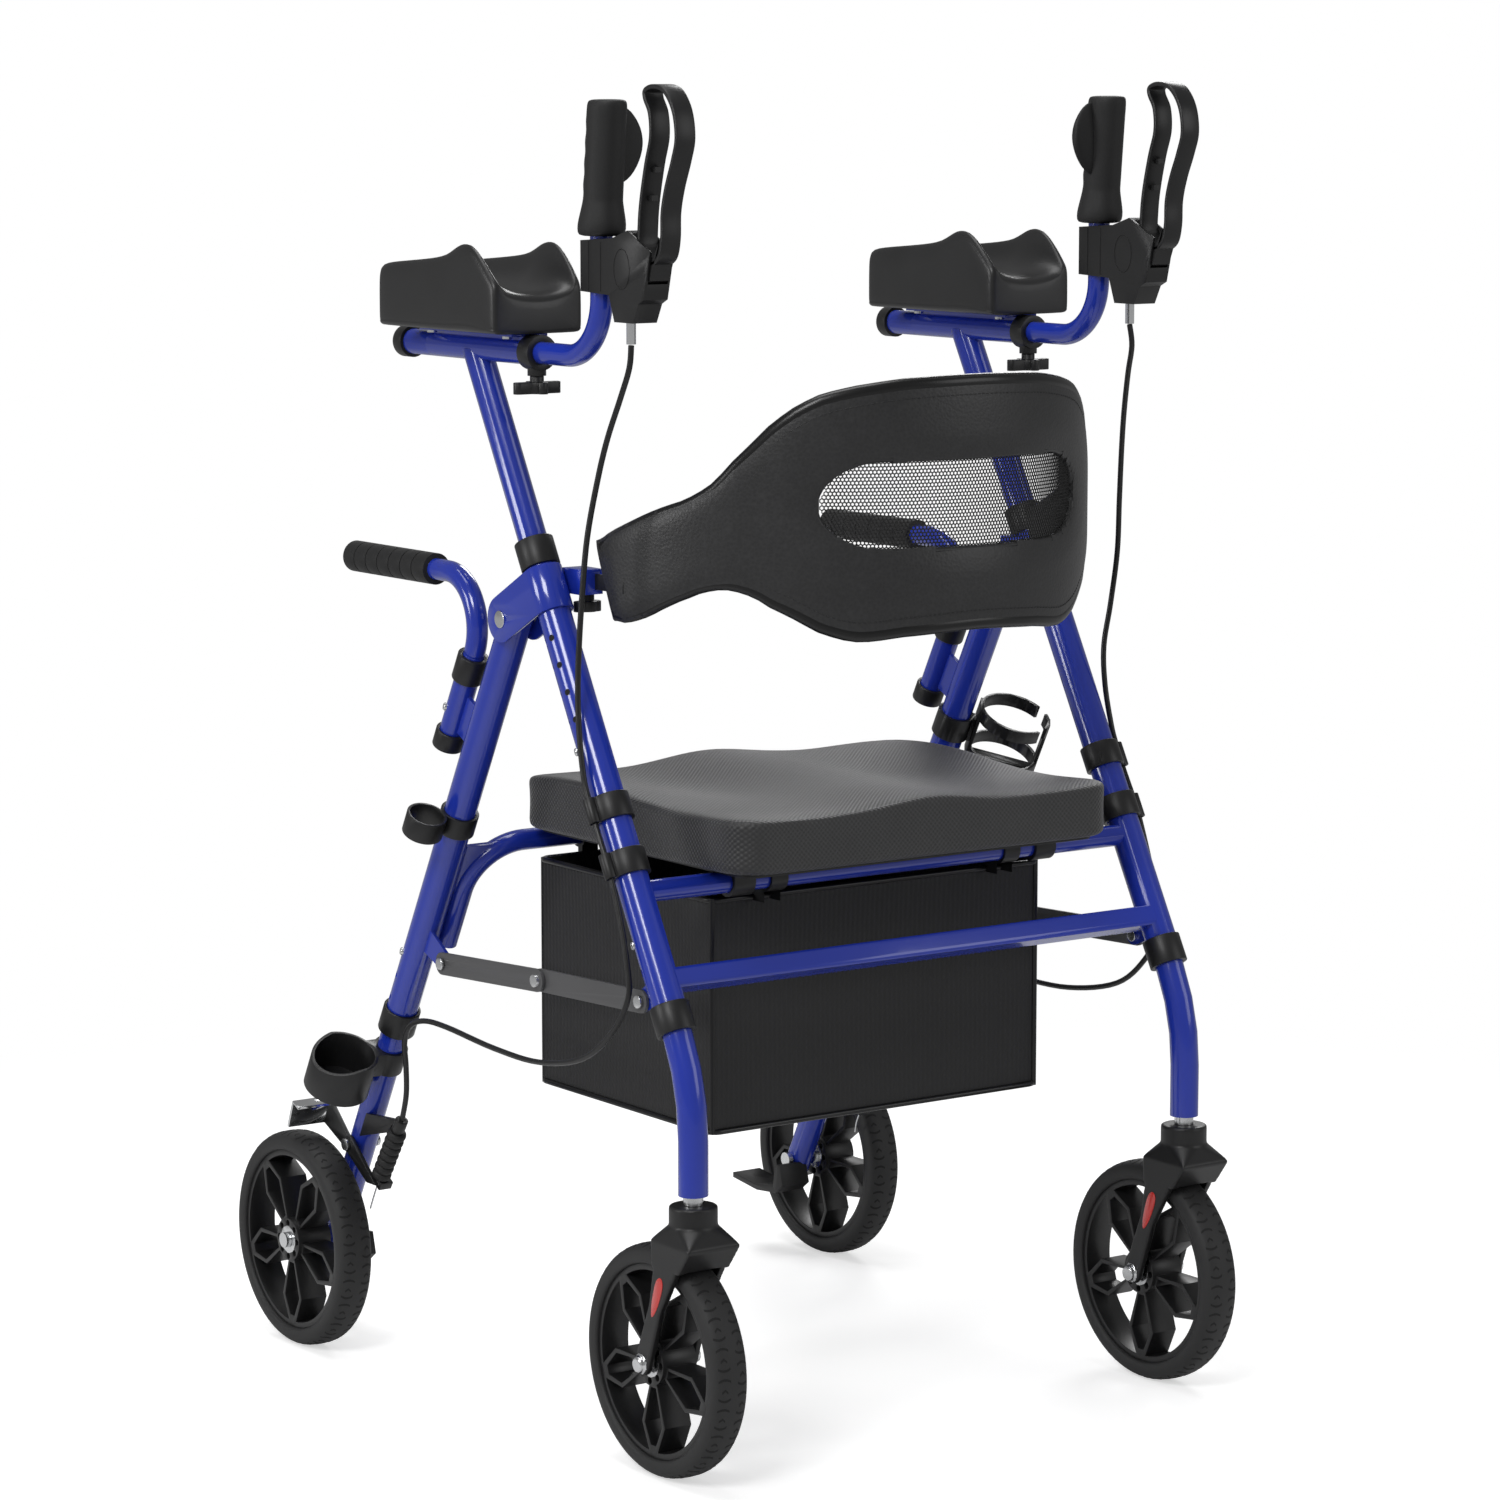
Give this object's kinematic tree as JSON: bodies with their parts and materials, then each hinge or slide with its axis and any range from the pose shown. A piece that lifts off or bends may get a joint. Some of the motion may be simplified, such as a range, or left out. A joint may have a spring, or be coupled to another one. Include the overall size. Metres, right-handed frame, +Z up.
{
  "type": "upright walker",
  "caption": "Folding rollator with forearm troughs, upright hand grips with loop brakes, padded seat, padded back band and cloth basket.",
  "frame": {"origin": "on the floor, midway between the front and rear axles and between the sides", "axes": "+Z up, -Y the way it is pushed, +X the user's left"},
  "size_m": [0.6874, 0.746, 1.1632],
  "materials": {
    "blue": "glossy cobalt blue paint",
    "black_plastic": "fine matte",
    "rubber": "soft matte",
    "tyre": "soft dark grey",
    "fabric": "woven black",
    "grey_metal": "satin dark grey",
    "steel": "bright"
  },
  "bodies": {
    "front_frame": {"front_legs": "blue", "hinge_brackets": "blue", "front_frame_fittings": "black_plastic", "brake_cables": "rubber", "basket": "fabric"},
    "rear_frame": {"rear_frame": "blue", "rear_frame_fittings": "black_plastic", "cane_ring": "black_plastic", "bottle_cage": "black_plastic"},
    "seat": {"seat_cushion": "fabric", "seat_board": "black_plastic"},
    "backrest": {"backrest_pad": "fabric", "backrest_bars": "black_plastic"},
    "front_stay_pair": {"front_stays": "grey_metal"},
    "rear_stay_pair": {"rear_stays": "grey_metal"},
    "front_foot_right": {"front_lower_leg_right": "blue"},
    "caster_right": {"caster_fork_right": "black_plastic"},
    "front_wheel_right": {"front_rim_right": "black_plastic", "front_tyre_right": "tyre"},
    "rear_foot_right": {"rear_lower_leg_right": "blue", "brake_mount_right": "black_plastic", "brake_boot_right": "rubber", "cane_cup": "black_plastic"},
    "rear_wheel_right": {"rear_rim_right": "black_plastic", "rear_tyre_right": "tyre"},
    "brake_arm_body_right": {"brake_arm_right": "black_plastic"},
    "arm_right": {"arm_post_right": "blue", "forearm_pad_right": "rubber"},
    "handle_right": {"handle_tube_right": "blue", "hand_grip_right": "rubber", "brake_housing_right": "black_plastic"},
    "lever_right": {"brake_lever_right": "black_plastic"},
    "clamp_right": {"clamp_knob_right": "black_plastic"},
    "push_right": {"push_handle_right": "blue"},
    "post_snap_right": {"post_button_right": "steel"},
    "foot_snap_right": {"foot_button_right": "steel"},
    "rear_snap_right": {"rear_button_right": "steel"},
    "push_snap_right": {"push_button_right": "steel"},
    "front_foot_left": {"front_lower_leg_left": "blue"},
    "caster_left": {"caster_fork_left": "black_plastic"},
    "front_wheel_left": {"front_rim_left": "black_plastic", "front_tyre_left": "tyre"},
    "rear_foot_left": {"rear_lower_leg_left": "blue", "brake_mount_left": "black_plastic", "brake_boot_left": "rubber"},
    "rear_wheel_left": {"rear_rim_left": "black_plastic", "rear_tyre_left": "tyre"},
    "brake_arm_body_left": {"brake_arm_left": "black_plastic"},
    "arm_left": {"arm_post_left": "blue", "forearm_pad_left": "rubber"},
    "handle_left": {"handle_tube_left": "blue", "hand_grip_left": "rubber", "brake_housing_left": "black_plastic"},
    "lever_left": {"brake_lever_left": "black_plastic"},
    "clamp_left": {"clamp_knob_left": "black_plastic"},
    "push_left": {"push_handle_left": "blue"},
    "post_snap_left": {"post_button_left": "steel"},
    "foot_snap_left": {"foot_button_left": "steel"},
    "rear_snap_left": {"rear_button_left": "steel"},
    "push_snap_left": {"push_button_left": "steel"}
  },
  "joints": [
    {"name": "fold", "type": "hinge", "parent": "front_frame", "child": "rear_frame", "pos_m": [0, -0.047, 0.706], "axis": [-1, 0, 0], "range_deg": [0, 32], "deforming": ["basket", "brake_cables"]},
    {"name": "front_stay_turn", "type": "hinge", "parent": "front_frame", "child": "front_stay_pair", "pos_m": [0, -0.24134, 0.40168], "axis": [1, 0, 0], "range_deg": [0, 55.6]},
    {"name": "rear_stay_turn", "type": "hinge", "parent": "rear_frame", "child": "rear_stay_pair", "pos_m": [0, 0.06902, 0.38628], "axis": [-1, 0, 0], "range_deg": [0, 43.8]},
    {"name": "seat_lift", "type": "hinge", "parent": "front_frame", "child": "seat", "pos_m": [0, -0.22935, 0.492], "axis": [1, 0, 0], "range_deg": [0, 60]},
    {"name": "backrest_slide", "type": "slide", "parent": "front_frame", "child": "backrest", "axis": [0, -1, 0], "range_m": [0, 0.04]},
    {"name": "front_foot_slide_right", "type": "slide", "parent": "front_frame", "child": "front_foot_right", "axis": [0, -0.4818, -0.8763], "range_m": [0, 0.05]},
    {"name": "caster_swivel_right", "type": "hinge", "parent": "front_foot_right", "child": "caster_right", "pos_m": [-0.266, -0.313, 0.2], "axis": [0, 0, 1], "continuous": true},
    {"name": "front_wheel_spin_right", "type": "hinge", "parent": "caster_right", "child": "front_wheel_right", "pos_m": [-0.266, -0.273, 0.1], "axis": [1, 0, 0], "continuous": true},
    {"name": "rear_foot_slide_right", "type": "slide", "parent": "rear_frame", "child": "rear_foot_right", "axis": [0, 0.4669, -0.8843], "range_m": [0, 0.05], "deforming": ["brake_cables"]},
    {"name": "rear_wheel_spin_right", "type": "hinge", "parent": "rear_foot_right", "child": "rear_wheel_right", "pos_m": [-0.301, 0.273, 0.1], "axis": [1, 0, 0], "continuous": true},
    {"name": "arm_slide_right", "type": "slide", "parent": "front_frame", "child": "arm_right", "axis": [0, 0.4818, 0.8763], "range_m": [0, 0.1], "deforming": ["brake_cables"]},
    {"name": "handle_slide_right", "type": "slide", "parent": "arm_right", "child": "handle_right", "axis": [0, -1, 0], "range_m": [0, 0.06], "deforming": ["brake_cables"]},
    {"name": "brake_squeeze_right", "type": "hinge", "parent": "handle_right", "child": "lever_right", "pos_m": [-0.266, -0.261, 1.009], "axis": [-1, 0, 0], "range_deg": [0, 15], "stiffness_Nm_per_rad": 1.5},
    {"name": "brake_arm_turn_right", "type": "hinge", "parent": "rear_foot_right", "child": "brake_arm_body_right", "pos_m": [-0.281, 0.2229, 0.1949], "axis": [-1, 0, 0], "range_deg": [0, 9], "deforming": ["brake_boot_right"]},
    {"name": "clamp_turn_right", "type": "hinge", "parent": "arm_right", "child": "clamp_right", "pos_m": [-0.266, -0.081, 0.91], "axis": [0, 0, 1], "continuous": true},
    {"name": "push_slide_right", "type": "slide", "parent": "rear_frame", "child": "push_right", "axis": [0, -0.4669, 0.8843], "range_m": [0, 0.025]},
    {"name": "post_press_right", "type": "slide", "parent": "front_frame", "child": "post_snap_right", "axis": [0.8829, -0.4114, 0.2262], "range_m": [0, 0.0025], "stiffness_N_per_m": 400},
    {"name": "foot_press_right", "type": "slide", "parent": "front_frame", "child": "foot_snap_right", "axis": [0.8829, -0.4114, 0.2262], "range_m": [0, 0.0025], "stiffness_N_per_m": 400},
    {"name": "rear_press_right", "type": "slide", "parent": "rear_frame", "child": "rear_snap_right", "axis": [0.8829, -0.4151, -0.2192], "range_m": [0, 0.0025], "stiffness_N_per_m": 400},
    {"name": "push_press_right", "type": "slide", "parent": "rear_frame", "child": "push_snap_right", "axis": [0.8829, -0.4151, -0.2192], "range_m": [0, 0.0025], "stiffness_N_per_m": 400},
    {"name": "front_foot_slide_left", "type": "slide", "parent": "front_frame", "child": "front_foot_left", "axis": [0, -0.4818, -0.8763], "range_m": [0, 0.05]},
    {"name": "caster_swivel_left", "type": "hinge", "parent": "front_foot_left", "child": "caster_left", "pos_m": [0.266, -0.313, 0.2], "axis": [0, 0, 1], "continuous": true},
    {"name": "front_wheel_spin_left", "type": "hinge", "parent": "caster_left", "child": "front_wheel_left", "pos_m": [0.266, -0.273, 0.1], "axis": [1, 0, 0], "continuous": true},
    {"name": "rear_foot_slide_left", "type": "slide", "parent": "rear_frame", "child": "rear_foot_left", "axis": [0, 0.4669, -0.8843], "range_m": [0, 0.05], "deforming": ["brake_cables"]},
    {"name": "rear_wheel_spin_left", "type": "hinge", "parent": "rear_foot_left", "child": "rear_wheel_left", "pos_m": [0.301, 0.273, 0.1], "axis": [1, 0, 0], "continuous": true},
    {"name": "arm_slide_left", "type": "slide", "parent": "front_frame", "child": "arm_left", "axis": [0, 0.4818, 0.8763], "range_m": [0, 0.1], "deforming": ["brake_cables"]},
    {"name": "handle_slide_left", "type": "slide", "parent": "arm_left", "child": "handle_left", "axis": [0, -1, 0], "range_m": [0, 0.06], "deforming": ["brake_cables"]},
    {"name": "brake_squeeze_left", "type": "hinge", "parent": "handle_left", "child": "lever_left", "pos_m": [0.266, -0.261, 1.009], "axis": [-1, 0, 0], "range_deg": [0, 15], "stiffness_Nm_per_rad": 1.5},
    {"name": "brake_arm_turn_left", "type": "hinge", "parent": "rear_foot_left", "child": "brake_arm_body_left", "pos_m": [0.281, 0.2229, 0.1949], "axis": [-1, 0, 0], "range_deg": [0, 9], "deforming": ["brake_boot_left"]},
    {"name": "clamp_turn_left", "type": "hinge", "parent": "arm_left", "child": "clamp_left", "pos_m": [0.266, -0.081, 0.91], "axis": [0, 0, 1], "continuous": true},
    {"name": "push_slide_left", "type": "slide", "parent": "rear_frame", "child": "push_left", "axis": [0, -0.4669, 0.8843], "range_m": [0, 0.025]},
    {"name": "post_press_left", "type": "slide", "parent": "front_frame", "child": "post_snap_left", "axis": [-0.8829, -0.4114, 0.2262], "range_m": [0, 0.0025], "stiffness_N_per_m": 400},
    {"name": "foot_press_left", "type": "slide", "parent": "front_frame", "child": "foot_snap_left", "axis": [-0.8829, -0.4114, 0.2262], "range_m": [0, 0.0025], "stiffness_N_per_m": 400},
    {"name": "rear_press_left", "type": "slide", "parent": "rear_frame", "child": "rear_snap_left", "axis": [-0.8829, -0.4151, -0.2192], "range_m": [0, 0.0025], "stiffness_N_per_m": 400},
    {"name": "push_press_left", "type": "slide", "parent": "rear_frame", "child": "push_snap_left", "axis": [-0.8829, -0.4151, -0.2192], "range_m": [0, 0.0025], "stiffness_N_per_m": 400}
  ],
  "couplings": [
    {"joint": "front_stay_turn", "follows": "fold", "ratio": 1.7328},
    {"joint": "rear_stay_turn", "follows": "fold", "ratio": 1.3635},
    {"joint": "brake_arm_turn_right", "follows": "brake_squeeze_right", "ratio": 0.6},
    {"joint": "brake_arm_turn_left", "follows": "brake_squeeze_left", "ratio": 0.6}
  ]
}
